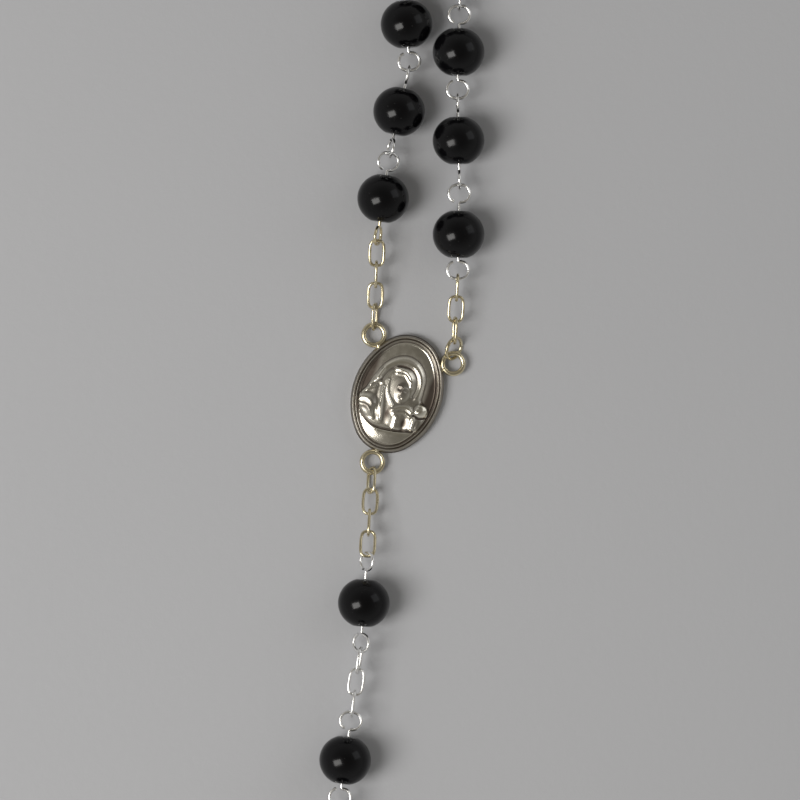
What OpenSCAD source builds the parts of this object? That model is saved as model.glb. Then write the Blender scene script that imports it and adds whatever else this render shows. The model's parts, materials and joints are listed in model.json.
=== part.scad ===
// Five-decade rosary: round glass beads on wire eye pins, hooked together one by one.
// The origin is the centre of the medal's back, on the surface that the rosary lies on.
// +Z is up, and +Y runs from the medal towards the loop of decades.

/* [Beads] */
// Diameter of a bead across its hole
bead_d = 6; // [5:0.2:7.4]
// Length of a bead along its hole
bead_len = 5.4; // [4.4:0.1:6.8]
// Diameter of the small flat round each end of the hole
bead_flat_d = 2.1; // [1.4:0.1:2.6]
// Gap all round the shank in a bead's hole
bore_gap = 0.08; // [0.04:0.01:0.1]

/* [Wire] */
// Wire of the eye pins and of the chain links
wire_d = 0.36; // [0.3:0.01:0.44]
// Gap between two wires that are hooked together
hook_gap = 0.06; // [0.05:0.01:0.08]

/* [Eye pins] */
// Outside width of an eye
eye_w = 2.8; // [2.3:0.1:3.4]
// Inner radius of the sharp bend where the shank turns into an eye
eye_bend = 0.04; // [0.03:0.01:0.1]
// Angle left open between the cut end of an eye and its shank
eye_open = 20; // [15:1:30]
// Straight shank that shows between a bead and its eye
neck = 0.4; // [0.2:0.05:0.8]

/* [Chain links] */
// Distance that one link adds to a chain
link_pitch = 2.5; // [2.1:0.05:3]
// Outside width of a link
link_w = 2; // [1.7:0.05:2.4]
// Straight stretch at each end of a link
link_tip = 0.3; // [0.2:0.05:0.5]

/* [Jump ring] */
// Outside diameter of the jump ring
jump_d = 3; // [2.6:0.1:3.6]
// Gap between the jump ring and what is hooked on it
jump_gap = 0.15; // [0.12:0.01:0.25]
// Wire of the jump ring
jump_wire = 0.42; // [0.34:0.02:0.5]
// Angle of the slit in the jump ring
jump_slit = 6; // [3:1:12]

/* [Medal] */
// Length of the oval medal
medal_len = 14.1; // [12:0.1:17]
// Width of the oval medal
medal_w = 10.5; // [9:0.1:12.6]
// Radius of the oval's two ends
medal_end_r = 4.2; // [3.6:0.1:4.8]
// Height of the medal's rim
medal_t = 1.35; // [1.25:0.05:1.7]
// Height of the step outside the rim
medal_edge_t = 1.1; // [1:0.05:1.2]
// Width of the step outside the rim
medal_edge_w = 0.35; // [0.2:0.05:0.5]
// Width of the raised rim
medal_rim_w = 0.55; // [0.4:0.05:0.7]
// Depth of the field below the rim
field_drop = 0.3; // [0.2:0.05:0.4]
// Turn of the medal to the right, away from +Y
medal_turn = 20; // [0:1:30]
// Height of the relief above the field
relief_h = 0.85; // [0.5:0.05:1.1]

/* [Lugs] */
// Outside diameter of a lug
lug_d = 3; // [2.8:0.1:3.6]
// Wire of a lug
lug_wire = 0.6; // [0.5:0.05:0.7]
// Diameter of the short neck between a lug and its piece
lug_neck_d = 0.44; // [0.3:0.02:0.48]
// Height of a lug's middle above the surface
lug_z = 0.85; // [0.7:0.05:1]
// Distance of a lug's middle outside the edge of its piece
lug_out = 1.35; // [1.2:0.05:1.7]
// Angle of the two upper lugs from the medal's long axis
lug_angle = 41.4; // [36:0.2:46]

/* [Cross] */
// Length of the cross
cross_len = 34; // [28:1:42]
// Width of the cross over its arms
cross_w = 20; // [16:1:26]
// Width of each arm
cross_arm_w = 4; // [3:0.2:5]
// Diameter of the round end of each arm
cross_end_d = 5.2; // [4:0.2:6.4]
// Thickness of the cross at its edge
cross_t = 1.3; // [1.2:0.1:1.8]
// Height of the raised inner cross above the edge
cross_raise = 0.4; // [0.2:0.1:0.6]
// Width of the low border round the raised inner cross
cross_border = 0.7; // [0.5:0.1:1]
// Distance of the crossing below the top of the cross
cross_drop = 11; // [9:0.5:15]

/* [Lie of the rosary] */
// Turn from bead to bead where the two strands spread
spread_turn = 8; // [6.5:0.5:8.5]
// Turn from bead to bead in the second decade
side_turn = 7.5; // [7:0.25:8]
// Turn from bead to bead in the third decade
top_turn = 9; // [8:0.5:10]
// Sideways distance between the two wires at the open join of the loop
open_join = 0.5; // [0.45:0.05:0.8]

/* [Hidden] */
$fn = 64;

bead_col = [0.03, 0.03, 0.035];
silver_col = [0.78, 0.78, 0.78];
gold_col = [0.83, 0.77, 0.58];

bead_z = bead_d / 2;
bead_bore = wire_d + 2 * bore_gap;
bead_rise = (bead_d - bead_flat_d) / 2;
bead_side_r = (pow(bead_rise, 2) + pow(bead_len / 2, 2)) / (2 * bead_rise);

// Centre to centre of two wires hooked together
hook = wire_d + hook_gap;
eye_bend_r = wire_d / 2 + eye_bend;
eye_r = (eye_w - wire_d) / 2 - eye_bend_r;
eye_back = 2 * eye_r + eye_bend_r;
eye_len = eye_back + wire_d / 2;
link_half = (link_w - wire_d) / 2;
link_corner_r = link_half - link_tip / 2;
jump_r = (jump_d - jump_wire) / 2;
jump_pitch = 2 * jump_r - (jump_wire + wire_d) / 2 - jump_gap;
lug_r = (lug_d - lug_wire) / 2;

// The medal's outline is an oval of four arcs
oval_shift = medal_len / 2 - medal_end_r;
oval_gain = medal_w / 2 - medal_end_r;
oval_c = (pow(oval_shift, 2) - pow(oval_gain, 2)) / (2 * oval_gain);
// The side arcs cross the end arcs at a slight angle, so they never only touch
oval_cross = 0.9;
field_z = medal_t - field_drop;
relief_sink = 0.1;

// A piece of chain is [kind, heading, climb, near roll, far roll, near neck, far neck].
// Headings are in degrees from +Y, positive to the right. A roll of 0 lies flat.
function kind(piece) = piece[0];
function heading(piece) = piece[1];
function climb(piece) = piece[2];
function reach(shown) = eye_len + shown;
function pin_pitch(piece) = reach(piece[5]) + bead_len + reach(piece[6]) - wire_d - hook;
function pitch(piece) =
    kind(piece) == "pin" ? pin_pitch(piece) :
    kind(piece) == "ring" ? jump_pitch :
    link_pitch;
function toward(head, up = 0) = [sin(head) * cos(up), cos(head) * cos(up), sin(up)];
function step(piece) = pitch(piece) * toward(heading(piece), climb(piece));

// Where each piece starts, and last where the chain ends
function starts(from, pieces, i = 0) =
    i == len(pieces) ? [from] : concat([from], starts(from + step(pieces[i]), pieces, i + 1));
function chain_end(from, pieces) = starts(from, pieces)[len(pieces)];

function link(head, up, roll) = ["link", head, up, roll, roll, 0, 0];
function pin(head, near_roll, far_roll, near_neck = neck, far_neck = neck) =
    ["pin", head, 0, near_roll, far_roll, near_neck, far_neck];
// Neighbours in a chain lie flat and stand on edge by turns
function turn_about(i) = i % 2 == 0 ? 90 : 0;
function decade(head, turn, count, phase) =
    [for (k = [0:count - 1]) pin(head + turn * k, turn_about(phase + k), turn_about(phase + k))];
function divider(head, turn, phase) = [for (k = [0:6])
    k == 3 ?
        pin(head + turn * k, turn_about(phase + k), turn_about(phase + k)) :
        link(head + turn * k, 0, turn_about(phase + k))];

// Places of the lugs round the oval, measured from its long axis
function side_reach(a) =
    sqrt(pow(oval_c * sin(a), 2) + pow(medal_w / 2 + oval_c, 2) - pow(oval_c, 2)) - oval_c * sin(a);
side_lug = side_reach(lug_angle) + lug_out;
foot_lug = medal_len / 2 + lug_out;
function lug_at(head, distance) = distance * toward(head) + [0, 0, lug_z];
left_lug = lug_at(medal_turn - lug_angle, side_lug);
right_lug = lug_at(medal_turn + lug_angle, side_lug);
lower_lug = lug_at(medal_turn + 180, foot_lug);
function from_lug(lug, head, tube, gap) =
    lug + (lug_r - (lug_wire + tube) / 2 - gap + hook) * toward(head);

bead_lift = bead_z - lug_z;
gold_climb = asin(bead_lift / (4 * link_pitch));
ring_climb = 25;
right_climb = asin((bead_lift - jump_pitch * sin(ring_climb)) / (3 * link_pitch));
cross_climb = -asin(bead_lift / (3 * link_pitch));

left_rolls = [75, 0, 90, 0];
left = concat(
    [for (roll = left_rolls) link(2, gold_climb, roll)],
    [pin(8, 75, 20), pin(13, 105, 90), pin(-4, 5, 0)]
);
left_pts = starts(from_lug(left_lug, 2, wire_d, hook_gap), left);

right_rolls = [100, 5, 90];
right = concat(
    [["ring", 3, ring_climb, 50, 50, 0, 0]],
    [for (roll = right_rolls) link(3, right_climb, roll)],
    [pin(1, 0, 0, 0.2, 0.8), pin(-1.2, 90, 90, 0.6), pin(1.3, 0, 0)]
);
right_pts = starts(from_lug(right_lug, 3, jump_wire, jump_gap), right);

lower_rolls = [62, 0, 90, 0];
lower = concat(
    [for (roll = lower_rolls) link(183.2, gold_climb, roll)],
    [pin(184, 55, 45, 0.9, 0.7)],
    [link(188, 0, 100), link(188, 0, 0), link(188, 0, 90)],
    [pin(188, 0, 0, 0.65), pin(186, 90, 90), pin(183, 0, 0)],
    [link(181, 0, 90), link(180, 0, 0), link(180, 0, 90)],
    [pin(180, 0, 0)],
    [for (roll = [90, 0, 90]) link(180, cross_climb, roll)]
);
lower_pts = starts(from_lug(lower_lug, 183.2, wire_d, hook_gap), lower);

// The loop: the strands spread, run up the sides and close over the top
first = decade(-2, -spread_turn, 7, 0);
first_at = left_pts[7];
divider_turn = 1.5;
first_div = divider(-7 * spread_turn, divider_turn, 1);
first_div_at = chain_end(first_at, first);
second = decade(-40, side_turn, 10, 0);
second_at = chain_end(first_div_at, first_div);
second_div = divider(10 * side_turn - 38, divider_turn, 0);
second_div_at = chain_end(second_at, second);
third_at = chain_end(second_div_at, second_div);
fifth = decade(3, spread_turn, 7, 0);
fifth_at = right_pts[7];
fourth_div = divider(7 * spread_turn, -divider_turn, 1);
fourth_div_at = chain_end(fifth_at, fifth);
fourth_at = chain_end(fourth_div_at, fourth_div);

// The third decade from one side and the fourth from the other meet at the open join
third_flat = decade(0, top_turn, 10, 1);
fourth_flat = decade(0, -side_turn, 10, 0);
third_div_flat = divider(-10 * side_turn - 2, -divider_turn, 0);
third_span = chain_end([0, 0, 0], third_flat);
fourth_span = chain_end(chain_end([0, 0, 0], fourth_flat), third_div_flat);
join_shift = open_join * toward(43);
join_base = fourth_at + join_shift - third_at;
third_reach = norm(third_span);
fourth_reach = norm(fourth_span);
join_d = norm(join_base);
join_cos = (pow(third_reach, 2) + pow(join_d, 2) - pow(fourth_reach, 2)) / (2 * third_reach * join_d);
third_aim = atan2(join_base[0], join_base[1]) - acos(join_cos);
join_at = third_at + third_reach * toward(third_aim) - join_shift;
fourth_aim = atan2((join_at - fourth_at)[0], (join_at - fourth_at)[1]);
third_head = third_aim - atan2(third_span[0], third_span[1]);
fourth_head = fourth_aim - atan2(fourth_span[0], fourth_span[1]);
third = decade(third_head, top_turn, 10, 1);
fourth = decade(fourth_head, -side_turn, 10, 0);
third_div = divider(fourth_head - 10 * side_turn - 2, -divider_turn, 0);
third_div_at = chain_end(fourth_at, fourth);

// The cross hangs on the last link by its own lug
cross_head = 180;
cross_lug_at = lower_pts[18] + (lug_r - (lug_wire + wire_d) / 2 - hook_gap) * toward(cross_head);

// Moves its children to a piece's start, with +X along the chain
module along(at, piece) {
    translate(at)
        rotate([0, 0, 90 - heading(piece)])
        rotate([0, -climb(piece), 0])
        children();
}

// A curved stretch of wire in the XY plane round the origin
module bend(r, from, sweep, d) {
    rotate([0, 0, from])
        rotate_extrude(angle = sweep)
        translate([r, 0])
        circle(d = d);
}

// A straight stretch of wire across the chain, centred on the point
module bar_across(x, y, length) {
    translate([x, y, 0])
        rotate([90, 0, 0])
        cylinder(d = wire_d, h = length, center = true);
}

// A straight stretch of wire along the chain
module bar_along(x, y, length) {
    translate([x, y, 0])
        rotate([0, 90, 0])
        cylinder(d = wire_d, h = length);
}

// A chain link: straight tips, round corners and straight sides
module link_wire() {
    side = hook + link_pitch - 2 * link_corner_r;
    bar_across(-hook, 0, link_tip);
    bar_across(link_pitch, 0, link_tip);
    for (flip = [0, 1])
        mirror([0, flip, 0]) {
            bar_along(link_corner_r - hook, link_half, side);
            translate([link_pitch - link_corner_r, link_tip / 2, 0])
                bend(link_corner_r, 0, 90, wire_d);
            translate([link_corner_r - hook, link_tip / 2, 0])
                bend(link_corner_r, 90, 90, wire_d);
        }
}

// An eye with its tip at the origin, pointing along +X. Its straight tip is as long as
// the sharp bend is wide, so that the round eye stays centred on the shank.
module eye() {
    bar_across(0, 0, 2 * eye_bend_r);
    translate([-eye_r, eye_bend_r, 0])
        bend(eye_r, 0, 180 - eye_open, wire_d);
    translate([-eye_r, -eye_bend_r, 0])
        bend(eye_r, 180, 180, wire_d);
    translate([-eye_back, -eye_bend_r, 0])
        bend(eye_bend_r, 0, 90, wire_d);
}

// An eye pin: two eyes and the shank that runs through the bead
module pin_wire(piece) {
    length = pitch(piece);
    translate([length, 0, 0])
        rotate([piece[4], 0, 0])
        eye();
    translate([-hook, 0, 0])
        rotate([piece[3], 0, 0])
        rotate([0, 0, 180])
        eye();
    bar_along(eye_back - hook, 0, length + hook - 2 * eye_back);
}

module ring_wire() {
    translate([jump_r - hook, 0, 0])
        bend(jump_r, 90, 360 - jump_slit, jump_wire);
}

// The wire of one piece of chain, whatever its kind
module wire(at, piece) {
    along(at, piece)
        if (kind(piece) == "pin")
            pin_wire(piece);
        else
            rotate([piece[3], 0, 0])
                if (kind(piece) == "ring")
                    ring_wire();
                else
                    link_wire();
}

// A glass bead: a round side between two small flats, drilled through
module bead(at, piece) {
    middle = reach(piece[5]) - hook - wire_d / 2 + bead_len / 2;
    along(at, piece)
        translate([middle, 0, 0])
        rotate([0, 90, 0])
        difference() {
            rotate_extrude()
                intersection() {
                    translate([bead_d / 2 - bead_side_r, 0])
                        circle(r = bead_side_r);
                    translate([0, -bead_len / 2])
                        square([bead_d, bead_len]);
                }
            cylinder(d = bead_bore, h = bead_len + 2, center = true);
        }
}

// All the wires, or all the beads, of a stretch of chain
module wires(at, pieces) {
    points = starts(at, pieces);
    for (i = [0:len(pieces) - 1])
        wire(points[i], pieces[i]);
}

module beads(at, pieces) {
    points = starts(at, pieces);
    for (i = [0:len(pieces) - 1])
        if (kind(pieces[i]) == "pin")
            bead(points[i], pieces[i]);
}

// A ring lug and the short neck that joins it to its piece
module lug(neck_in) {
    bend(lug_r, 0, 360, lug_wire);
    translate([-lug_out - neck_in, 0, 0])
        rotate([0, 90, 0])
        cylinder(d = lug_neck_d, h = lug_out + neck_in - lug_r);
}

// The medal's oval, drawn smaller all round by inset
module oval(inset) {
    end_r = medal_end_r - inset;
    side_c = oval_cross * oval_c;
    side_r = medal_w / 2 + side_c - inset;
    meet = side_r * oval_shift / sqrt(pow(oval_shift, 2) + pow(side_c, 2));
    for (side = [-1, 1])
        translate([0, side * oval_shift])
            circle(r = end_r);
    intersection() {
        translate([-side_c, 0])
            circle(r = side_r);
        translate([side_c, 0])
            circle(r = side_r);
        square([medal_w, 2 * meet], center = true);
    }
}

// A low round dome that stands on the field
module dome(x, y, foot_r, height) {
    r = (pow(foot_r, 2) + pow(height, 2)) / (2 * height);
    translate([x, y, field_z])
        intersection() {
            translate([0, 0, height - r])
                rotate([90, 0, 0])
                sphere(r = r);
            translate([0, 0, -relief_sink])
                cylinder(r = 2 * foot_r, h = 2 * height);
        }
}

module medal() color(silver_col) {
    neck_in = 0.5;
    rotate([0, 0, -medal_turn]) {
        linear_extrude(medal_edge_t)
            oval(0);
        difference() {
            linear_extrude(medal_t)
                oval(medal_edge_w);
            translate([0, 0, field_z])
                linear_extrude(medal_t)
                oval(medal_edge_w + medal_rim_w);
        }
        dome(0, 1.5, 2.3, relief_h);
        dome(-0.6, -1.8, 2.5, relief_h - 0.25);
        dome(2, -1.6, 1.5, relief_h - 0.2);
    }
    translate(left_lug)
        rotate([0, 0, 90 - medal_turn + lug_angle])
        lug(neck_in);
    translate(right_lug)
        rotate([0, 0, 90 - medal_turn - lug_angle])
        lug(neck_in);
    translate(lower_lug)
        rotate([0, 0, -90 - medal_turn])
        lug(neck_in);
}

// The outline of the cross, its top at the origin and its foot along +X
module cross_outline(inset) {
    arm = cross_arm_w - 2 * inset;
    end_d = cross_end_d - 2 * inset;
    end_r = cross_end_d / 2;
    translate([end_r, -arm / 2])
        square([cross_len - 2 * end_r, arm]);
    translate([cross_drop - arm / 2, end_r - cross_w / 2])
        square([arm, cross_w - 2 * end_r]);
    for (x = [end_r, cross_len - end_r])
        translate([x, 0])
            circle(d = end_d);
    for (y = [end_r - cross_w / 2, cross_w / 2 - end_r])
        translate([cross_drop, y])
            circle(d = end_d);
}

module cross() color(silver_col) {
    translate(cross_lug_at)
        rotate([0, 0, 90 - cross_head]) {
            rotate([0, 0, 180])
                lug(cross_border);
            translate([lug_out, 0, -lug_z]) {
                linear_extrude(cross_t)
                    cross_outline(0);
                linear_extrude(cross_t + cross_raise)
                    cross_outline(cross_border);
            }
        }
}

module left_chain_link(i) color(gold_col) wire(left_pts[i - 1], left[i - 1]);
module left_pin(i) color(silver_col) wire(left_pts[i + 3], left[i + 3]);
module left_bead(i) color(bead_col) bead(left_pts[i + 3], left[i + 3]);
module right_jump_ring() color(gold_col) wire(right_pts[0], right[0]);
module right_chain_link(i) color(gold_col) wire(right_pts[i], right[i]);
module right_pin(i) color(silver_col) wire(right_pts[i + 3], right[i + 3]);
module right_bead(i) color(bead_col) bead(right_pts[i + 3], right[i + 3]);
module lower_chain_link(i) color(gold_col) wire(lower_pts[i - 1], lower[i - 1]);
module our_father_pin() color(silver_col) wire(lower_pts[4], lower[4]);
module our_father_bead() color(bead_col) bead(lower_pts[4], lower[4]);
module pendant_link(i) color(silver_col) wire(lower_pts[i + 4], lower[i + 4]);
module hail_mary_pin(i) color(silver_col) wire(lower_pts[i + 7], lower[i + 7]);
module hail_mary_bead(i) color(bead_col) bead(lower_pts[i + 7], lower[i + 7]);
module pendant_end_links() color(silver_col) wires(lower_pts[11], [for (i = [11:13]) lower[i]]);
module last_our_father_pin() color(silver_col) wire(lower_pts[14], lower[14]);
module last_our_father_bead() color(bead_col) bead(lower_pts[14], lower[14]);
module cross_links() color(silver_col) wires(lower_pts[15], [for (i = [15:17]) lower[i]]);
module first_decade_pins() color(silver_col) wires(first_at, first);
module first_decade_beads() color(bead_col) beads(first_at, first);
module first_divider_chain() color(silver_col) wires(first_div_at, first_div);
module first_divider_bead() color(bead_col) beads(first_div_at, first_div);
module second_decade_pins() color(silver_col) wires(second_at, second);
module second_decade_beads() color(bead_col) beads(second_at, second);
module second_divider_chain() color(silver_col) wires(second_div_at, second_div);
module second_divider_bead() color(bead_col) beads(second_div_at, second_div);
module third_decade_pins() color(silver_col) wires(third_at, third);
module third_decade_beads() color(bead_col) beads(third_at, third);
module third_divider_chain() color(silver_col) wires(third_div_at, third_div);
module third_divider_bead() color(bead_col) beads(third_div_at, third_div);
module fourth_decade_pins() color(silver_col) wires(fourth_at, fourth);
module fourth_decade_beads() color(bead_col) beads(fourth_at, fourth);
module fourth_divider_chain() color(silver_col) wires(fourth_div_at, fourth_div);
module fourth_divider_bead() color(bead_col) beads(fourth_div_at, fourth_div);
module fifth_decade_pins() color(silver_col) wires(fifth_at, fifth);
module fifth_decade_beads() color(bead_col) beads(fifth_at, fifth);

medal();
for (i = [1:4]) left_chain_link(i);
for (i = [1:3]) left_pin(i);
for (i = [1:3]) left_bead(i);
right_jump_ring();
for (i = [1:3]) right_chain_link(i);
for (i = [1:3]) right_pin(i);
for (i = [1:3]) right_bead(i);
for (i = [1:4]) lower_chain_link(i);
our_father_pin();
our_father_bead();
for (i = [1:3]) pendant_link(i);
for (i = [1:3]) hail_mary_pin(i);
for (i = [1:3]) hail_mary_bead(i);
pendant_end_links();
last_our_father_pin();
last_our_father_bead();
cross_links();
cross();
first_decade_pins();
first_decade_beads();
first_divider_chain();
first_divider_bead();
second_decade_pins();
second_decade_beads();
second_divider_chain();
second_divider_bead();
third_decade_pins();
third_decade_beads();
third_divider_chain();
third_divider_bead();
fourth_decade_pins();
fourth_decade_beads();
fourth_divider_chain();
fourth_divider_bead();
fifth_decade_pins();
fifth_decade_beads();
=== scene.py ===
import bpy
import bmesh
import json
import math
import numpy as np
from mathutils import Matrix, Vector

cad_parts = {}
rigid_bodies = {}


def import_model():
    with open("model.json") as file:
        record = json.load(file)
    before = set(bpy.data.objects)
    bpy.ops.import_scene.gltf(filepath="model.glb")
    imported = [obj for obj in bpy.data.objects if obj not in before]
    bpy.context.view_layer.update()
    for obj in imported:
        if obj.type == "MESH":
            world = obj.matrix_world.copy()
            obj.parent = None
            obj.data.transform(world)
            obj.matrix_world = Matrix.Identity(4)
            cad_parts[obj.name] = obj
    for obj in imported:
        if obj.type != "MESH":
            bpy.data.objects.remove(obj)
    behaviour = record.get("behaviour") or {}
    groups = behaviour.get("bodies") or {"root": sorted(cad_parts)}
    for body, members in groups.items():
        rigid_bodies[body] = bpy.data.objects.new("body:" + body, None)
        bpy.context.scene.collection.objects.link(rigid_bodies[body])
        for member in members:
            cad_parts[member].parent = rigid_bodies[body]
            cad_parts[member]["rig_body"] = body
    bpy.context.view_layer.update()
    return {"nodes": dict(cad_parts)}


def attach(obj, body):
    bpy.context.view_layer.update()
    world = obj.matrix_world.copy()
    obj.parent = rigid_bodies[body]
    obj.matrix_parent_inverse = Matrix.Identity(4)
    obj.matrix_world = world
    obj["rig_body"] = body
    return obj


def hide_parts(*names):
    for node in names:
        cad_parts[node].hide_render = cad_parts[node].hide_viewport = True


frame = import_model()
mm = 0.001


# Camera and light

cameraSetup = {
    "across": 92.3 * mm,          # what the view spans at bead height
    "centre": (0.32 * mm, -0.7 * mm),
    "height": 0.55,
    "beadHeight": 3 * mm,
}

lightSetup = {
    "keyFrom": (-0.55, -0.19, 0.805),   # a window high on the left
    "keyAway": 0.6,
    "keySize": (0.25, 0.36),
    "keyPower": 2.5,
    "keyTint": (1, 0.985, 0.96),
    "fillFrom": (0.75, 0.35, 0.5),
    "fillAway": 0.9,
    "fillSize": (0.5, 0.5),
    "fillPower": 0.6,
    "fillTint": (0.93, 0.96, 1),
    "overhead": (0.165, 0.155, 0.135),
    "horizon": (0.46, 0.455, 0.445),
    "skyBand": (0.35, 0.93),            # rise over which the horizon turns into overhead
}


def placeCamera(s):
    data = bpy.data.cameras.new("camera")
    camera = bpy.data.objects.new("camera", data)
    bpy.context.scene.collection.objects.link(camera)
    camera.location = (s["centre"][0], s["centre"][1], s["beadHeight"] + s["height"])
    data.lens = data.sensor_width * s["height"] / s["across"]
    data.clip_start = 0.01
    data.clip_end = 20
    bpy.context.scene.camera = camera


def areaLight(name, toward, away, size, power, tint):
    data = bpy.data.lights.new(name, "AREA")
    data.shape = "RECTANGLE"
    data.size, data.size_y = size
    data.energy = power
    data.color = tint
    lamp = bpy.data.objects.new(name, data)
    bpy.context.scene.collection.objects.link(lamp)
    direction = Vector(toward).normalized()
    lamp.location = direction * away
    lamp.rotation_euler = direction.to_track_quat("Z", "Y").to_euler()


placeCamera(cameraSetup)
for name in ("key", "fill"):
    areaLight(name, *(lightSetup[name + part]
                      for part in ("From", "Away", "Size", "Power", "Tint")))
bpy.context.scene.view_settings.view_transform = "Standard"


# Shader building

class Val:
    # a shader socket that can be used in sums
    def __init__(self, finish, socket):
        self.finish = finish
        self.socket = socket

    def sum(self, operation, other):
        return self.finish.node("ShaderNodeMath", {"operation": operation}, {0: self, 1: other})

    def __add__(self, other):
        return self.sum("ADD", other)

    __radd__ = __add__

    def __mul__(self, other):
        return self.sum("MULTIPLY", other)

    __rmul__ = __mul__

    def clamp(self):
        return self.finish.node("ShaderNodeClamp", {}, {"Value": self})


class Finish:
    def __init__(self, name, tree=None):
        if tree is None:
            self.material = bpy.data.materials.new(name)
            self.material.use_nodes = True
            tree = self.material.node_tree
        self.tree = tree
        tree.nodes.clear()

    def node(self, kind, settings=None, sockets=None, out=0):
        made = self.tree.nodes.new(kind)
        for key, value in (settings or {}).items():
            if key == "stops":
                self.setStops(made.color_ramp, value)
            else:
                setattr(made, key, value)
        for key, value in (sockets or {}).items():
            if isinstance(value, Val):
                self.tree.links.new(value.socket, made.inputs[key])
            else:
                made.inputs[key].default_value = value
        return Val(self, made.outputs[out]) if len(made.outputs) else made

    def setStops(self, ramp, stops):
        while len(ramp.elements) < len(stops):
            ramp.elements.new(0.5)
        for element, (position, colour) in zip(ramp.elements, stops):
            element.position = position
            element.color = colour

    def place(self):
        return self.node("ShaderNodeTexCoord", out=3)

    def noise(self, scale, detail=3, rough=0.5, place=None):
        return self.node("ShaderNodeTexNoise", {}, {
            "Vector": place or self.place(), "Scale": scale, "Detail": detail, "Roughness": rough})

    def ramp(self, value, stops):
        grey = [(p, (v, v, v, 1)) for p, v in stops]
        return self.node("ShaderNodeValToRGB", {"stops": grey}, {"Fac": value})

    def blend(self, factor, first, second):
        return self.node("ShaderNodeMix", {"data_type": "RGBA"}, {
            "Factor": factor, 6: first, 7: second}, out=2)

    def bump(self, height, distance, strength=1.0):
        return self.node("ShaderNodeBump", {}, {
            "Height": height, "Distance": distance, "Strength": strength})

    def principled(self, sockets):
        shader = self.node("ShaderNodeBsdfPrincipled", {}, sockets)
        self.node("ShaderNodeOutputMaterial", {}, {"Surface": shader})
        return self.material


def room(s):
    # a plain room: darker straight above, paler near the horizon
    world = bpy.data.worlds.new("room")
    world.use_nodes = True
    bpy.context.scene.world = world
    f = Finish("room", world.node_tree)
    up = f.node("ShaderNodeSeparateXYZ", {}, {"Vector": f.node("ShaderNodeTexCoord", out=0)}, out=2)
    share = f.node("ShaderNodeMapRange", {}, {
        "Value": up, "From Min": s["skyBand"][0], "From Max": s["skyBand"][1],
        "To Min": 0.0, "To Max": 1.0})
    colour = f.blend(share, (*s["horizon"], 1), (*s["overhead"], 1))
    back = f.node("ShaderNodeBackground", {}, {"Color": colour, "Strength": 1.0})
    f.node("ShaderNodeOutputWorld", {}, {"Surface": back})


room(lightSetup)


# Finishes

def floorPaper():
    f = Finish("floorPaper")
    cloud = f.noise(9, 4, 0.55)
    grain = f.noise(900, 3, 0.6)
    colour = f.blend(cloud, (0.424, 0.428, 0.445, 1), (0.457, 0.460, 0.474, 1))
    return f.principled({
        "Base Color": colour,
        "Roughness": f.ramp(grain, [(0.2, 0.55), (0.8, 0.72)]),
        "Specular IOR Level": 0.3,
        "Normal": f.bump(grain, 0.00003),
    })


def blackGlass():
    # dense black glass, polished, with a faint grey-blue depth and finger marks
    f = Finish("blackGlass")
    depth = f.noise(260, 2, 0.5)
    marks = f.noise(520, 5, 0.62)
    ripple = f.noise(420, 2, 0.4)
    dust = f.ramp(f.noise(5200, 2, 0.5), [(0.70, 0.0), (0.78, 1.0)])
    colour = f.blend(depth, (0.0012, 0.0012, 0.0015, 1), (0.004, 0.0038, 0.0046, 1))
    dusty = f.blend(dust * 0.35, colour, (0.10, 0.098, 0.095, 1))
    return f.principled({
        "Base Color": dusty,
        "Roughness": f.ramp(marks, [(0.35, 0.13), (0.7, 0.21)]) + dust * 0.12,
        "IOR": 1.5,
        "Specular IOR Level": 0.2,
        "Normal": f.bump(ripple, 0.00004, 0.6),
    })


def platedWire(f, patches, colour, grime=0.0):
    # what every plated wire shares: rougher where dull, with fine die lines
    return f.principled({
        "Base Color": colour,
        "Metallic": 1.0,
        "Roughness": f.ramp(patches, [(0.3, 0.14), (0.75, 0.30)]) + grime,
        "Normal": f.bump(f.noise(2600, 3, 0.6), 0.000012, 0.7),
    })


def drawnWire(name, clean, dull, tarnish):
    # bright plated wire with dulled patches and a few dark specks
    f = Finish(name)
    patches = f.noise(700, 4, 0.6)
    specks = f.ramp(f.noise(3300, 2, 0.5), [(0.64, 0.0), (0.74, 1.0)])
    worn = f.ramp(patches, [(0.36, 0.0), (0.66, 1.0)])
    colour = f.blend(specks * 0.5, f.blend(worn, (*clean, 1), (*dull, 1)), (*tarnish, 1))
    return platedWire(f, patches, colour, specks * 0.15)


def giltEye():
    # silver wire whose gilt end is marked by the attribute
    f = Finish("giltEye")
    gilt = f.node("ShaderNodeAttribute", {"attribute_name": "gilt"}, out=2)
    colour = f.blend(gilt, (0.83, 0.83, 0.82, 1), (0.80, 0.70, 0.46, 1))
    return platedWire(f, f.noise(700, 4, 0.6), colour)


def stampedSilver(name):
    # polished high places; painted shade and painted dark reflections darken the hollows, the sides
    # and some patches; fine wear from handling
    f = Finish(name)
    # painted shade: how much shade and dark reflection is painted into the colour here
    hollow = f.node("ShaderNodeAttribute", {"attribute_name": "hollow"}, out=2)
    patches = f.noise(380, 4, 0.6)
    rub = f.noise(1500, 5, 0.65)
    bright = f.blend(patches, (0.87, 0.835, 0.74, 1), (0.72, 0.68, 0.58, 1))
    # the colour of the painted shade and painted dark reflections
    dark = (0.098, 0.080, 0.066, 1)
    # how far the painted shade darkens the colour, uneven with the patches
    shade_share = (hollow * (0.75 + 0.5 * patches)).clamp()
    return f.principled({
        "Base Color": f.blend(shade_share, bright, dark),
        "Metallic": 1.0,
        "Roughness": f.ramp(rub, [(0.3, 0.09), (0.75, 0.19)]) + hollow * 0.3,
        "Normal": f.bump(rub, 0.000015, 0.6),
    })


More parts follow.
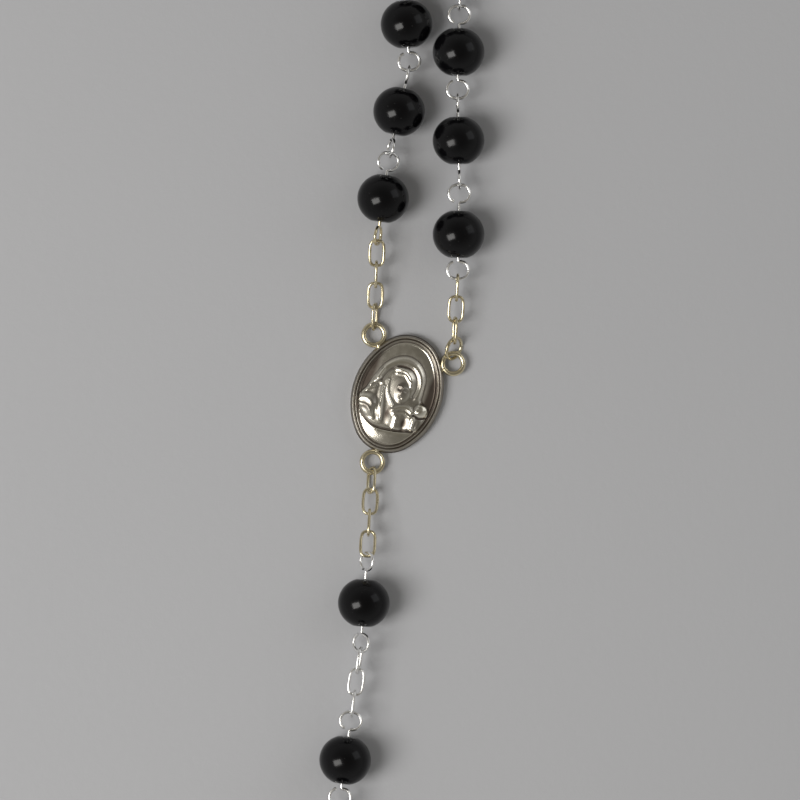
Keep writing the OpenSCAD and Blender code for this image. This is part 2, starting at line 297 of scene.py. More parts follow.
finishes = {
    "floor": floorPaper(),
    "glass": blackGlass(),
    "silver": drawnWire("silverWire", (0.93, 0.93, 0.92), (0.82, 0.81, 0.79), (0.30, 0.27, 0.24)),
    "gold": drawnWire("paleGoldWire", (0.76, 0.685, 0.485), (0.52, 0.45, 0.29),
                      (0.20, 0.14, 0.075)),
    "giltEye": giltEye(),
    "medal": stampedSilver("medalSilver"),
    "cross": stampedSilver("crossSilver"),
}
print("finishes: %d" % len(finishes))


# Reading the frame

def loosePieces(node):
    # the points of each separate solid in a CAD node, in metres
    work = bmesh.new()
    work.from_mesh(frame["nodes"][node].data)
    bmesh.ops.remove_doubles(work, verts=work.verts, dist=1e-7)
    work.verts.ensure_lookup_table()
    seen = set()
    found = []
    for start in work.verts:
        if start.index in seen:
            continue
        stack = [start]
        seen.add(start.index)
        points = []
        while stack:
            vert = stack.pop()
            points.append(vert.co[:])
            for edge in vert.link_edges:
                other = edge.other_vert(vert)
                if other.index not in seen:
                    seen.add(other.index)
                    stack.append(other)
        found.append(np.array(points))
    work.free()
    return found


def principalAxes(points):
    # centre, then unit axes from the longest spread to the shortest
    vectors = np.linalg.eigh(np.cov((points - points.mean(0)).T))[1]
    axes = vectors[:, ::-1].T
    spans = [(points @ a).max() + (points @ a).min() for a in axes]
    centre = sum(a * s / 2 for a, s in zip(axes, spans))
    return centre, axes, [np.ptp(points @ a) for a in axes]


def bodyOf(node):
    return frame["nodes"][node]["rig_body"]


nodeNames = sorted(frame["nodes"])
beadNodes = [n for n in nodeNames if "bead" in n]
wireNodes = [n for n in nodeNames if n not in beadNodes and n not in ("medal", "cross")]


def meshObject(name, points, faces=(), edges=()):
    mesh = bpy.data.meshes.new(name)
    mesh.from_pydata([tuple(p) for p in points], [tuple(e) for e in edges],
                     [tuple(f) for f in faces])
    made = bpy.data.objects.new(name, mesh)
    bpy.context.scene.collection.objects.link(made)
    return made


# Geometry Nodes helpers

class GeoTree:
    def __init__(self, name, inputs):
        self.tree = bpy.data.node_groups.new(name, "GeometryNodeTree")
        sockets = self.tree.interface
        sockets.new_socket("Geometry", in_out="INPUT", socket_type="NodeSocketGeometry")
        self.ids = {}
        for label, (kind, value) in inputs.items():
            item = sockets.new_socket(label, in_out="INPUT", socket_type=kind)
            if value is not None:
                item.default_value = value
            self.ids[label] = item.identifier
        sockets.new_socket("Geometry", in_out="OUTPUT", socket_type="NodeSocketGeometry")
        self.source = self.tree.nodes.new("NodeGroupInput")
        self.result = self.tree.nodes.new("NodeGroupOutput")

    def given(self, label):
        return self.source.outputs[label]

    def node(self, kind, settings=None, sockets=None):
        made = self.tree.nodes.new(kind)
        for key, value in (settings or {}).items():
            setattr(made, key, value)
        for key, value in (sockets or {}).items():
            if isinstance(value, bpy.types.NodeSocket):
                self.tree.links.new(value, made.inputs[key])
            else:
                made.inputs[key].default_value = value
        return made

    def end(self, socket):
        self.tree.links.new(socket, self.result.inputs[0])

    def run(self, piece, values):
        # runs the tree on a piece and leaves a plain mesh
        modifier = piece.modifiers.new("shape", "NODES")
        modifier.node_group = self.tree
        for label, value in values.items():
            modifier[self.ids[label]] = value
        depsgraph = bpy.context.evaluated_depsgraph_get()
        plain = bpy.data.meshes.new_from_object(piece.evaluated_get(depsgraph))
        piece.modifiers.clear()
        plain.name = piece.name
        piece.data = plain
        return piece


# Beads

beadLook = {
    "around": 64,          # faces round the bead
    "arcSteps": 30,        # faces from mouth to mouth
    "flat": 2.1 * mm,      # across the level end round the hole
    "bore": 0.52 * mm,
    "lip": 0.12 * mm,      # rounding at the mouth of the hole
    "lipSteps": 6,
    "sizeSpread": 0.006,   # share by which beads differ
    "seed": 4,
}


def beadProfile(diameter, length, s):
    # half-section as (radius, along): outside, one mouth, the hole, the other mouth
    lip, hole = s["lip"], s["bore"] / 2
    rise = (diameter - s["flat"]) / 2
    side = (rise ** 2 + (length / 2) ** 2) / (2 * rise)
    middle = diameter / 2 - side
    tilt = math.asin(length / 2 / side)
    points = [(middle + side * math.cos(a), side * math.sin(a))
              for a in np.linspace(-tilt, tilt, s["arcSteps"] + 1)]
    mouth = [(hole + lip * (1 - math.cos(a)), length / 2 - lip * (1 - math.sin(a)))
             for a in np.linspace(math.pi / 2, 0, s["lipSteps"])]
    inner = [(hole, y) for y in np.linspace(length / 2 - 2 * lip, 2 * lip - length / 2,
                                            s["lipSteps"])]
    lower = [(r, -y) for r, y in reversed(mouth)]
    return points + mouth + inner + lower


def turnProfile(name, profile, around):
    # a closed ring of faces about X from a closed half-section
    points = []
    faces = []
    count = len(profile)
    for i in range(around):
        angle = 2 * math.pi * i / around
        for radius, along in profile:
            points.append((along, radius * math.cos(angle), radius * math.sin(angle)))
    for i in range(around):
        a, b = i * count, (i + 1) % around * count
        for j in range(count):
            k = (j + 1) % count
            faces.append((a + j, a + k, b + k, b + j))
    return meshObject(name, points, faces)


def beadTree():
    g = GeoTree("beads on their pins", {
        "Bead": ("NodeSocketObject", None),
        "Size spread": ("NodeSocketFloat", beadLook["sizeSpread"]),
        "Seed": ("NodeSocketInt", beadLook["seed"]),
        "Finish": ("NodeSocketMaterial", None),
    })
    shape = g.node("GeometryNodeObjectInfo", {}, {"Object": g.given("Bead")})
    turn = g.node("GeometryNodeInputNamedAttribute", {"data_type": "FLOAT_VECTOR"},
                  {"Name": "turn"})
    euler = g.node("FunctionNodeEulerToRotation", {}, {0: turn.outputs[0]})
    less = g.node("ShaderNodeMath", {"operation": "SUBTRACT"},
                  {0: 1.0, 1: g.given("Size spread")})
    size = g.node("FunctionNodeRandomValue", {"data_type": "FLOAT"}, {
        2: less.outputs[0], 3: 1.0, "Seed": g.given("Seed")})
    placed = g.node("GeometryNodeInstanceOnPoints", {}, {
        "Points": g.given("Geometry"), "Instance": shape.outputs["Geometry"],
        "Rotation": euler.outputs[0], "Scale": size.outputs[1]})
    real = g.node("GeometryNodeRealizeInstances", {}, {"Geometry": placed.outputs[0]})
    smooth = g.node("GeometryNodeSetShadeSmooth", {}, {"Geometry": real.outputs[0]})
    done = g.node("GeometryNodeSetMaterial", {}, {
        "Geometry": smooth.outputs[0], "Material": g.given("Finish")})
    g.end(done.outputs[0])
    return g


beadSpots = {}     # every bead's centre and axis, by node
for node in beadNodes:
    beadSpots[node] = []
    for points in loosePieces(node):
        centre, axes, spans = principalAxes(points)
        lone = max(range(3), key=lambda i: abs(spans[i] - np.median(spans)))
        beadSpots[node].append((centre, axes[lone], sorted(spans)))

# Sizes of the bead, from one on the right strand
firstSpans = beadSpots["right_bead_2"][0][2]
beadSize = {"length": firstSpans[0], "diameter": firstSpans[2]}
print("bead: %.2f long, %.2f across, in mm" % (firstSpans[0] / mm, firstSpans[2] / mm))


def turnFrom(axis):
    return Vector((1, 0, 0)).rotation_difference(Vector(axis)).to_euler()


def makeBeads():
    profile = beadProfile(beadSize["diameter"], beadSize["length"], beadLook)
    model = turnProfile("beadModel", profile, beadLook["around"])
    tree = beadTree()
    for node, spots in beadSpots.items():
        piece = meshObject("glass_" + node, [s[0] for s in spots])
        turns = piece.data.attributes.new("turn", "FLOAT_VECTOR", "POINT")
        turns.data.foreach_set("vector", [c for s in spots for c in turnFrom(s[1])])
        tree.run(piece, {"Bead": model, "Size spread": beadLook["sizeSpread"],
                         "Seed": beadLook["seed"], "Finish": finishes["glass"]})
        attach(piece, bodyOf(node))
        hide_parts(node)
    bpy.data.objects.remove(model)


makeBeads()
print("beads: %d" % sum(len(s) for s in beadSpots.values()))


# Wire: links, eye pins, jump ring and lugs

wireLook = {
    "wire": 0.35 * mm,      # a hair thinner than the frame's, so that moved links stay clear
    "ringWire": 0.41 * mm,
    "around": 14,
    "waver": 0.004 * mm,    # how far hand-bent wire strays
    "seed": 7,
    "eyeBendRadius": 0.22 * mm,
    "eyeOpen": 20,          # degrees left open at the eye's cut end
    "eyeReach": 1.6 * mm,   # how near its tip an eye is measured
    "linkSquareness": 3.3,
    "linkSteps": 44,
    "ringOpen": 3,          # degrees to each side of the ring's cut
    "ringSteps": 60,
    "pinLength": 6 * mm,    # a piece longer than this is an eye pin
}


def wireTree():
    g = GeoTree("bent wire", {
        "Wire": ("NodeSocketFloat", wireLook["wire"]),
        "Waver": ("NodeSocketFloat", wireLook["waver"]),
        "Around": ("NodeSocketInt", wireLook["around"]),
        "Seed": ("NodeSocketInt", wireLook["seed"]),
        "Finish": ("NodeSocketMaterial", None),
    })
    line = g.node("GeometryNodeMeshToCurve", {}, {"Mesh": g.given("Geometry")})
    place = g.node("GeometryNodeInputPosition")
    stray = g.node("ShaderNodeTexNoise", {"noise_dimensions": "4D"}, {
        "Vector": place.outputs[0], "W": g.given("Seed"), "Scale": 900.0, "Detail": 1.0})
    centred = g.node("ShaderNodeVectorMath", {"operation": "SUBTRACT"}, {
        0: stray.outputs["Color"], 1: (0.5, 0.5, 0.5)})
    push = g.node("ShaderNodeVectorMath", {"operation": "SCALE"}, {
        0: centred.outputs[0], "Scale": g.given("Waver")})
    bent = g.node("GeometryNodeSetPosition", {}, {
        "Geometry": line.outputs[0], "Offset": push.outputs[0]})
    radius = g.node("ShaderNodeMath", {"operation": "MULTIPLY"}, {0: g.given("Wire"), 1: 0.5})
    ring = g.node("GeometryNodeCurvePrimitiveCircle", {}, {
        "Resolution": g.given("Around"), "Radius": radius.outputs[0]})
    swept = g.node("GeometryNodeCurveToMesh", {}, {
        "Curve": bent.outputs[0], "Profile Curve": ring.outputs[0], "Fill Caps": True})
    real = g.node("GeometryNodeRealizeInstances", {}, {"Geometry": swept.outputs[0]})
    smooth = g.node("GeometryNodeSetShadeSmooth", {}, {"Geometry": real.outputs[0]})
    done = g.node("GeometryNodeSetMaterial", {}, {
        "Geometry": smooth.outputs[0], "Material": g.given("Finish")})
    g.end(done.outputs[0])
    return g


def arc(cx, cy, radius, start, end, steps):
    return [(cx + radius * math.cos(a), cy + radius * math.sin(a))
            for a in np.radians(np.linspace(start, end, steps))]


def linkLine(length, width, wire):
    # closed centreline of a link, length along x: a squarish oval
    reach, half = (length - wire) / 2, (width - wire) / 2
    power = 2 / wireLook["linkSquareness"]
    line = []
    for a in np.linspace(0, 2 * math.pi, wireLook["linkSteps"], endpoint=False):
        c, s = math.cos(a), math.sin(a)
        line.append((reach * math.copysign(abs(c) ** power, c),
                     half * math.copysign(abs(s) ** power, s)))
    return line


def eyeLine(width, wire):
    # from the shank out: sharp bend, round the eye to its cut end; the tip is at x = 0
    b = wireLook["eyeBendRadius"]
    r = (width - wire) / 2 - b
    return (arc(-2 * r - b, -b, b, 90, 0, 5)[:-1] + arc(-r, -b, r, 180, 360, 22)
            + arc(-r, b, r, 0, 180 - wireLook["eyeOpen"], 20))


def inSpace(line, origin, along, across):
    return [origin + along * x + across * y for x, y in line]


def linkPath(points):
    centre, axes, spans = principalAxes(points)
    return inSpace(linkLine(spans[0], spans[1], spans[2]), centre, axes[0], axes[1]), True


def ringPath(points):
    centre, axes, spans = principalAxes(points)
    radius = (spans[0] - spans[2]) / 2
    line = arc(0, 0, radius, wireLook["ringOpen"], 360 - wireLook["ringOpen"],
               wireLook["ringSteps"])
    return inSpace(line, centre, axes[0], axes[1]), False


def eyeSide(points, tip, along, reach):
    # the direction across an eye, from the points near its tip
    near = points[np.abs((points - tip) @ along) < reach]
    flat = (near - tip) - np.outer((near - tip) @ along, along)
    vectors = np.linalg.eigh(np.cov((flat - flat.mean(0)).T))[1]
    return vectors[:, -1], np.ptp(flat @ vectors[:, -1])


def pinPath(points, wire):
    # an eye pin follows the axis of the bead that it carries
    middle = (points.max(0) + points.min(0)) / 2
    spots = [s for spots in beadSpots.values() for s in spots]
    centre, along, _ = min(spots, key=lambda s: np.linalg.norm(s[0] - middle))
    line = []
    for sign in (-1, 1):
        out = along * sign
        tip = centre + out * (((points - centre) @ out).max() - wire / 2)
        side, width = eyeSide(points, tip, out, wireLook["eyeReach"])
        eye = inSpace(eyeLine(width, wire), tip, out, side)
        line = (eye[::-1] if sign < 0 else line + eye)
    return line, False


def wirePaths(node, wire):
    paths = []
    for points in loosePieces(node):
        longest = principalAxes(points)[2][0]
        if node == "right_jump_ring":
            paths.append(ringPath(points))
        elif longest > wireLook["pinLength"]:
            paths.append(pinPath(points, wire))
        else:
            paths.append(linkPath(points))
    return paths


def wirePiece(name, paths, wire, finish, tree):
    points, edges = [], []
    for line, closed in paths:
        first = len(points)
        points += line
        edges += [(first + i, first + i + 1) for i in range(len(line) - 1)]
        if closed:
            edges.append((len(points) - 1, first))
    piece = meshObject(name, points, edges=edges)
    return tree.run(piece, {"Wire": wire, "Waver": wireLook["waver"],
                            "Around": wireLook["around"], "Seed": wireLook["seed"],
                            "Finish": finish})


def makeWires(tree):
    for node in wireNodes:
        gold = "chain_link" in node or node == "right_jump_ring"
        wire = wireLook["ringWire" if node == "right_jump_ring" else "wire"]
        finish = finishes["gold" if gold else "giltEye" if node == "left_pin_1" else "silver"]
        piece = wirePiece("wire_" + node, wirePaths(node, wire), wire, finish, tree)
        if node == "left_pin_1":
            spot = beadSpots["left_bead_1"][0][0]
            gilt = piece.data.attributes.new("gilt", "FLOAT", "POINT")
            gilt.data.foreach_set("value", [float(v.co.y < spot[1]) for v in piece.data.vertices])
        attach(piece, bodyOf(node))
        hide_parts(node)


bentWire = wireTree()
makeWires(bentWire)
print("wires: %d nodes" % len(wireNodes))


# Medal

medalLook = {
    "size": (10.5, 14.1),      # mm, before it is turned
    "endRadius": 4.2,
    "turn": -20,               # degrees
    "inset": 0.03,             # keeps the piece inside the frame's medal
    "rings": 165,
    "around": 440,
    "rimHeight": 1.30,
    "rim": (0.10, 0.26, 0.36, 0.52),    # depths where it starts, is full, falls and ends
    "step": (0.52, 0.60, 0.66, 0.76),   # the same for the line inside it
    "stepHeight": 0.10,
    "grooves": ((-0.05, 0.86, 0.07), (0.04, 1.02, 0.06)),   # height, depth, width
    "edgeDrop": 0.22,
    "lineDepth": 0.62,
    "lineSpread": 1.35,
    "fieldHeight": 1.05,
    "highest": 1.88,
    "knee": 0.25,              # how far under that the relief starts to level off
    # painted dark reflections: patches that dim the highlights, as centre, half-sizes and amount
    "shade_patches": (((0.15, 0.7), (1.1, 1.5), 0.85), ((-0.35, -2.5), (0.55, 1.4), 1.0),
               ((1.75, 1.9), (0.6, 1.1), 0.7), ((-3.0, -2.4), (1.0, 0.7), 0.85),
               ((-2.35, -1.2), (0.5, 1.8), 0.85), ((1.8, -3.0), (0.5, 0.8), 1.0),
               ((1.9, 0.0), (0.6, 0.9), 0.6), ((3.5, -2.7), (0.6, 0.9), 0.7)),
    "lugs": ((-2.685, 6.851), (6.460, 3.522), (-2.873, -7.893)),
    "lugHeight": 0.85,
    "lugRadius": 1.2,
    "lugWire": 0.6,
    "lugTrim": 0.02,           # drawn this much thinner than the frame's
    "lugNeck": 0.6,
    "lugSteps": 50,
    # share of the outline and height, from the rim down and in under the medal
    "back": ((1.0, 0.55), (1.0, 0.12), (0.995, 0.04), (0.985, 0.0), (0.8, 0.0), (0.4, 0.0)),
}

# Lines of the relief in mm, before the medal is turned: path, width, height
reliefLines = [
    ([(-2.7, 1.2), (-2.1, 2.7), (-0.8, 3.65), (0.6, 3.75), (1.8, 3.0), (2.35, 1.6), (2.2, 0.2)],
     0.24, 0.16),
    ([(-2.2, 1.0), (-1.7, 2.3), (-0.7, 3.15), (0.6, 3.2), (1.5, 2.5), (1.9, 1.4), (1.8, 0.3)],
     0.17, -0.15),
    ([(-1.0, 2.75), (0.1, 2.75), (1.0, 2.15), (1.25, 1.3)], 0.17, 0.20),
    ([(-0.8, 2.3), (0.15, 2.35), (0.85, 1.8)], 0.11, 0.10),
    ([(-1.75, 0.2), (-1.5, -1.3), (-0.95, -3.3)], 0.15, 0.26),
    ([(-1.5, 1.2), (-1.1, -0.3), (-0.1, -1.4)], 0.11, 0.17),
    ([(-0.95, -1.2), (-0.35, -3.5)], 0.24, -0.06),
    ([(-2.25, 0.3), (-2.1, -1.6), (-1.75, -3.2)], 0.20, -0.10),
    ([(-2.85, 0.7), (-2.4, 2.3)], 0.12, 0.14),
    ([(-3.3, 0.0), (-2.5, 1.2)], 0.11, 0.12),
    ([(-3.9, -1.0), (-2.6, 0.1)], 0.14, 0.14),
    ([(-4.0, -1.8), (-3.2, -1.45), (-2.3, -1.9)], 0.28, 0.20),
    ([(-3.8, -2.5), (-2.8, -2.5), (-1.8, -3.4)], 0.18, 0.16),
    ([(0.1, -1.9), (0.9, -1.35), (1.6, -1.2), (2.4, -1.5)], 0.24, 0.24),
    ([(0.4, -2.3), (1.4, -1.8), (2.3, -2.1)], 0.14, 0.14),
    ([(0.75, -2.6), (0.85, -3.9)], 0.13, 0.16),
    ([(1.8, -2.5), (1.85, -3.6)], 0.26, -0.20),
    ([(2.75, -2.0), (2.8, -3.4)], 0.13, 0.26),
    ([(3.5, -2.1), (3.4, -3.3)], 0.20, 0.10),
    ([(-0.15, 0.93), (0.3, 1.00), (0.5, 0.86), (1.0, 0.90)], 0.08, 0.08),
    ([(0.46, 0.85), (0.40, 0.22)], 0.09, 0.16),
    ([(0.02, 0.62), (0.18, 0.62)], 0.12, -0.12),
    ([(0.72, 0.60), (0.88, 0.60)], 0.12, -0.12),
    ([(0.22, -0.12), (0.58, -0.14)], 0.07, 0.09),
    ([(0.26, -0.32), (0.54, -0.34)], 0.08, -0.08),
    ([(2.82, -0.85), (2.74, -1.15)], 0.08, 0.12),
    ([(2.95, -0.45), (3.6, -0.35), (3.95, -0.8)], 0.12, 0.14),
    ([(2.6, -1.75), (3.3, -1.9), (3.9, -1.6)], 0.14, -0.14),
]

# Rounded masses: centre, half-sizes, turn in degrees, height
reliefMasses = [
    ((0.50, 0.25), (0.90, 1.30), 12, 0.20),
    ((0.25, 1.25), (1.60, 2.10), 8, 0.12),
    ((3.25, -1.00), (0.90, 0.90), 0, 0.32),
    ((1.60, -2.60), (2.40, 1.60), 0, 0.05),
    ((-2.70, -2.20), (1.70, 1.30), -25, 0.20),
    ((0.20, -1.20), (0.80, 0.90), 20, 0.05),
]

bustEdge = [(-4.45, -2.8), (-4.40, -1.6), (-3.85, -0.4), (-3.4, 1.2), (-2.7, 2.9), (-1.5, 4.2),
            (0.1, 4.7), (1.7, 4.1), (2.7, 2.7), (2.95, 1.0), (3.1, 0.1), (4.0, -0.3),
            (4.3, -1.2), (4.15, -2.3), (3.8, -3.5)]
bustFoot = [(-4.6, -2.5), (-4.0, -3.0), (-2.6, -4.0), (-1.2, -4.5), (0.6, -4.35), (2.0, -4.05),
            (3.4, -3.6), (4.4, -3.1)]


def ease(value, low, high):
    t = np.clip((value - low) / (high - low), 0, 1)
    return t * t * (3 - 2 * t)


def curved(path, steps=4):
    # a smooth line through the points
    points = [np.array(p) for p in (path[0], *path, path[-1])]
    line = []
    for a, b, c, d in zip(points, points[1:], points[2:], points[3:]):
        for t in np.arange(steps) / steps:
            line.append(tuple(b + t * (c - a) / 2 + t * t * (a - 2.5 * b + 2 * c - d / 2)
                              + t ** 3 * (1.5 * (b - c) + (d - a) / 2)))
    return line + [tuple(path[-1])]


def awayFrom(x, y, path):
    # distance of every point from a line of segments
    best = np.full(x.shape, 1e9)
    for (ax, ay), (bx, by) in zip(path[:-1], path[1:]):
        dx, dy = bx - ax, by - ay
        t = np.clip(((x - ax) * dx + (y - ay) * dy) / (dx * dx + dy * dy), 0, 1)
        best = np.minimum(best, np.hypot(x - ax - t * dx, y - ay - t * dy))
    return best


def insideOf(x, y, path):
    inside = np.zeros(x.shape, bool)
    for (ax, ay), (bx, by) in zip(path, path[1:] + path[:1]):
        if ay != by:
            crosses = (ay > y) != (by > y)
            inside ^= crosses & (x < (bx - ax) * (y - ay) / (by - ay) + ax)
    return inside


def ovalDepth(x, y, s):
    # how far inside the four-arc oval a point lies
    shift = s["size"][1] / 2 - s["endRadius"]
    gain = s["size"][0] / 2 - s["endRadius"]
    c = (shift ** 2 - gain ** 2) / (2 * gain)
    x, y = np.abs(x), np.abs(y)
    end = s["endRadius"] - np.hypot(x, y - shift)
    side = s["size"][0] / 2 + c - np.hypot(x + c, y)
    return np.where(y * c > shift * (x + c), end, side) - s["inset"]


def ovalReach(angles, s):
    low = np.zeros(angles.shape)
    high = np.full(angles.shape, s["size"][1])
    for _ in range(40):
        middle = (low + high) / 2
        inside = ovalDepth(middle * np.cos(angles), middle * np.sin(angles), s) > 0
        low = np.where(inside, middle, low)
        high = np.where(inside, high, middle)
    return low


def band(value, marks):
    return ease(value, *marks[:2]) * (1 - ease(value, *marks[2:]))


def medalHeight(x, y, s):
    depth = ovalDepth(x, y, s)
    footLine = curved(bustFoot)
    foot = np.interp(x, *zip(*footLine))
    below = ease(foot - y, -0.06, 0.06)
    field = s["fieldHeight"]
    plain = field + 0.05 * ease(depth, 0.9, 2.0)
    swell = np.clip((depth - 0.75) / 1.9, 0, 1)
    exergue = field - 0.02 + 0.34 * (1 - (1 - swell) ** 2)
    outline = curved(bustEdge) + footLine[::-1]
    within = np.where(insideOf(x, y, outline), awayFrom(x, y, outline), 0)
    bust = 0.20 * ease(within, 0, 0.55) + 0.16 * ease(within, 0.3, 1.9)
    for (cx, cy), (rx, ry), turn, height in reliefMasses:
        a = math.radians(turn)
        u = ((x - cx) * math.cos(a) + (y - cy) * math.sin(a)) / rx
        v = ((y - cy) * math.cos(a) - (x - cx) * math.sin(a)) / ry
        bust = bust + height * np.clip(1 - u * u - v * v, 0, 1) ** 1.2
    for path, width, height in reliefLines:
        away = awayFrom(x, y, curved(path)) / width / s["lineSpread"]
        bust = bust + s["lineDepth"] * height * np.exp(-away ** 2)
    bust = bust * ease(within, 0, 0.25)
    z = plain + bust
    knee = s["highest"] - s["knee"]
    z = np.where(z > knee, knee + s["knee"] * np.tanh((z - knee) / s["knee"]), z)
    z = z * (1 - below) + exergue * below
    z = z + 0.07 * np.exp(-((y - foot - 0.05) / 0.09) ** 2) * ease(depth, 0.7, 1.0)
    z = np.where(depth < 1.0, field + (z - field) * ease(depth, 0.72, 1.0), z)
    z = z + (s["rimHeight"] - field) * band(depth, s["rim"])
    z = z + s["stepHeight"] * band(depth, s["step"])
    for height, at, width in s["grooves"]:
        z = z + height * np.exp(-((depth - at) / width) ** 2)
    edge = 1 - np.sqrt(1 - (1 - np.clip(depth / 0.2, 0, 1)) ** 2 * 0.96)
    return z - s["edgeDrop"] * edge


def softened(grid, reach):
    out = grid
    for _ in range(reach):
        turned = (np.roll(out, 1, 1) + np.roll(out, -1, 1) + 2 * out) / 4
        padded = np.pad(turned, ((1, 1), (0, 0)), "edge")
        out = (padded[:-2] + padded[2:] + 2 * turned) / 4
    return out


def makeMedal(s):
    angles = np.linspace(0, 2 * math.pi, s["around"], endpoint=False)
    reach = ovalReach(angles, s)
    share = np.linspace(0, 1, s["rings"] + 1)[1:]
    share = share + 0.10 * np.sin(math.pi * share) * share
    x = share[:, None] * (reach * np.cos(angles))[None]
    y = share[:, None] * (reach * np.sin(angles))[None]
    z = medalHeight(x, y, s)
    z = softened(z, 1)
    # painted shade: darker in the recesses of the relief
    hollow = np.clip((softened(z, 26) - z) / 0.055 + 0.3, 0, 1)
    # painted dark reflections: bands at the left and right of the field
    sides = ease(np.abs(x), 2.2, 3.6) * ease(ovalDepth(x, y, s), 0.6, 0.8) * (z < 1.14)
    hollow = np.maximum(hollow, sides * ease(y, -3.6, -2.2))
    # painted shade: darker towards the rim
    hollow = np.maximum(hollow, 0.62 * (1 - ease(ovalDepth(x, y, s), 0.8, 0.95)))
    # painted dark patches that dim the highlights
    for (cx, cy), (rx, ry), amount in s["shade_patches"]:
        spot = np.clip(1.25 - np.hypot((x - cx) / rx, (y - cy) / ry), 0, 1)
        hollow = np.maximum(hollow, amount * spot ** 0.6)
    # the back and underside get a little painted shade too
    rows = [(x, y, z, hollow)]
    for shrink, height in s["back"]:
        low = np.full((1, s["around"]), height)
        rows.append((x[-1:] * shrink, y[-1:] * shrink, low, low * 0 + 0.3))
    x, y, z, hollow = (np.vstack(parts) for parts in zip(*rows))
    count, around = x.shape
    points = np.stack([x, y, z], -1).reshape(-1, 3)
    middle = medalHeight(np.array([0.0]), np.array([0.0]), s)[0]
    points = np.vstack([points, [(0, 0, middle), (0, 0, 0)]]) * mm
    top, bottom = count * around, count * around + 1
    faces = [(top, j, (j + 1) % around) for j in range(around)]
    for i in range(count - 1):
        a, b = i * around, (i + 1) * around
        faces += [(a + j, b + j, b + (j + 1) % around, a + (j + 1) % around)
                  for j in range(around)]
    last = (count - 1) * around
    faces += [(bottom, last + (j + 1) % around, last + j) for j in range(around)]
    turn = Matrix.Rotation(math.radians(s["turn"]), 3, "Z")
    piece = meshObject("medalFace", points @ np.array(turn).T, faces)
    # the painted shade goes on the medal as a point attribute
    values = np.append(hollow.reshape(-1), [0.1, 0.3])
    piece.data.attributes.new("hollow", "FLOAT", "POINT").data.foreach_set("value", values)
    piece.data.shade_smooth()
    piece.data.materials.append(finishes["medal"])
    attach(piece, bodyOf("medal"))
    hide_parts("medal")


def lugPaths(centre, toward, across, s):
    # a closed ring and the short neck that joins it to its piece
    radius = s["lugRadius"] * mm
    ring = inSpace(arc(0, 0, radius, 4, 364, s["lugSteps"])[:-1], centre, toward, across)
    neck = [centre + toward * radius, centre + toward * (radius + s["lugNeck"] * mm)]
    return [(ring, True), (neck, False)]


def makeLugs(s, tree):
    for number, (x, y) in enumerate(s["lugs"], 1):
        centre = np.array((x, y, s["lugHeight"])) * mm
        toward = -centre * (1, 1, 0) / np.linalg.norm(centre[:2])
        across = np.array((-toward[1], toward[0], 0))
        piece = wirePiece("lug_%d" % number, lugPaths(centre, toward, across, s),
                          (s["lugWire"] - s["lugTrim"]) * mm, finishes["gold"], tree)
        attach(piece, bodyOf("medal"))
        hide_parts("medal")


makeMedal(medalLook)
makeLugs(medalLook, bentWire)
print("medal done")


# Cross

crossLook = {
    "lug": (-8.39, -93.45),        # mm
    "lugOut": 1.35,
    "lugTrim": 0.03,
    "drop": 11,                    # from the top end to the crossing
    "armWidth": 4,
    "endSize": 5.2,
    "reaches": (23, 9.99, 11, 9.99),   # foot, then round the other arms
    "arcSteps": 28,
    "sharpAngle": 24,              # degrees past which an edge is shaded sharp
    # inset and height, mm, from the back round to the sunk panel; last is how much painted shade
    # darkens it, most in the groove and the sunk panel
    "section": ((0.08, 0.0, 0.3), (0.0, 0.08, 0.3), (0.0, 1.14, 0.3), (0.05, 1.23, 0.0),
                (0.16, 1.28, 0.0), (0.24, 1.29, 0.0), (0.60, 1.29, 0.2), (0.69, 1.27, 0.9),
                (0.73, 1.32, 0.9), (0.74, 1.56, 0.4), (0.79, 1.65, 0.0), (0.90, 1.69, 0.0),
                (1.16, 1.69, 0.0), (1.24, 1.66, 0.2), (1.30, 1.58, 0.8), (1.36, 1.57, 0.75)),
}


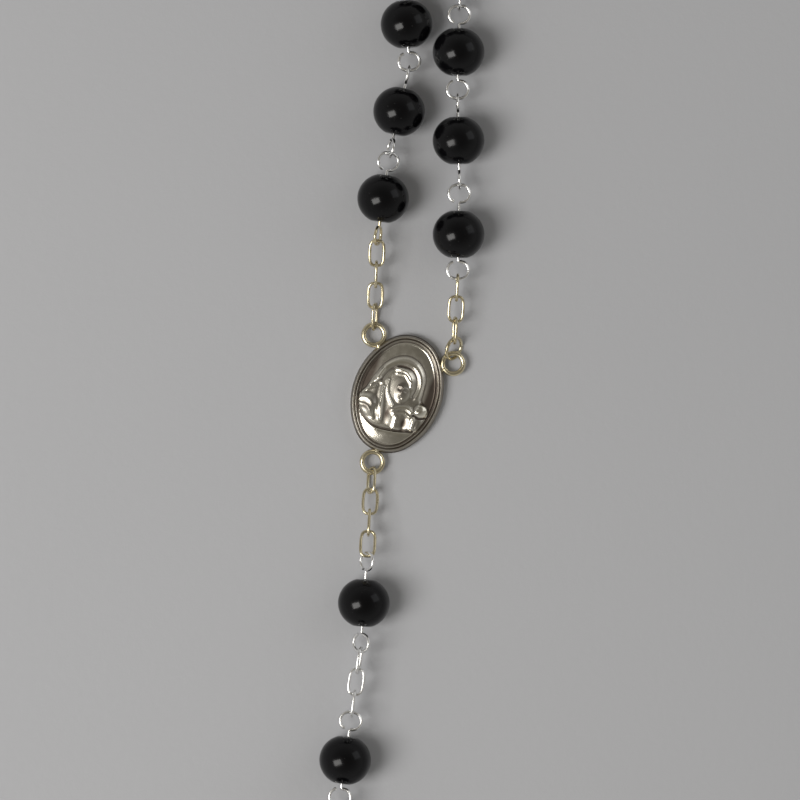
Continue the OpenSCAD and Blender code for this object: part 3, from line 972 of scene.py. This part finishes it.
def crossOutline(inset, s):
    # once round the cross from the crossing, foot first, in the cross's own axes
    half = s["armWidth"] / 2 - inset
    r = s["endSize"] / 2 - inset
    bite = math.asin(half / r)
    line = []
    for quarter, reach in enumerate(s["reaches"]):
        turn = quarter * math.pi / 2
        centre = reach - s["endSize"] / 2
        arm = [(half, -half)]
        arm += [(centre + r * math.cos(a), r * math.sin(a))
                for a in np.linspace(bite - math.pi, math.pi - bite, s["arcSteps"])]
        line += [(x * math.cos(turn) - y * math.sin(turn), x * math.sin(turn) + y * math.cos(turn))
                 for x, y in arm]
    return line


def makeCross(s):
    lug = np.array((*s["lug"], medalLook["lugHeight"])) * mm
    middle = (s["lug"][0], s["lug"][1] - s["lugOut"] - s["drop"])
    points, hollow, faces = [], [], []
    for inset, height, dark in s["section"]:
        for x, y in crossOutline(inset, s):
            points.append(((middle[0] + y) * mm, (middle[1] - x) * mm, height * mm))
            # painted shade for this ring
            hollow.append(dark)
    around = len(points) // len(s["section"])
    for i in range(len(s["section"]) - 1):
        for j in range(around):
            k = (j + 1) % around
            a, b = i * around, (i + 1) * around
            faces.append((a + j, a + k, b + k, b + j))
    faces.append(tuple(reversed(range(around))))
    faces.append(tuple(range(len(points) - around, len(points))))
    piece = meshObject("crossFace", points, faces)
    work = bmesh.new()
    work.from_mesh(piece.data)
    bmesh.ops.triangulate(work, faces=[f for f in work.faces if len(f.verts) > 4])
    bmesh.ops.recalc_face_normals(work, faces=work.faces)
    work.to_mesh(piece.data)
    work.free()
    # the painted shade goes on the cross as a point attribute
    piece.data.attributes.new("hollow", "FLOAT", "POINT").data.foreach_set("value", hollow)
    piece.data.shade_smooth()
    piece.data.set_sharp_from_angle(angle=math.radians(s["sharpAngle"]))
    piece.data.materials.append(finishes["cross"])
    paths = lugPaths(lug, np.array((0, -1, 0)), np.array((1, 0, 0)), medalLook)
    eye = wirePiece("lug_4", paths, (medalLook["lugWire"] - s["lugTrim"]) * mm,
                    finishes["silver"], bentWire)
    for part in (piece, eye):
        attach(part, bodyOf("cross"))
        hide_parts("cross")


makeCross(crossLook)
print("cross done")


# Floor

floorSize = 3.0
floor = meshObject("floor", [(-floorSize, -floorSize, 0), (floorSize, -floorSize, 0),
                             (floorSize, floorSize, 0), (-floorSize, floorSize, 0)],
                   [(0, 1, 2, 3)])
floor.data.materials.append(finishes["floor"])
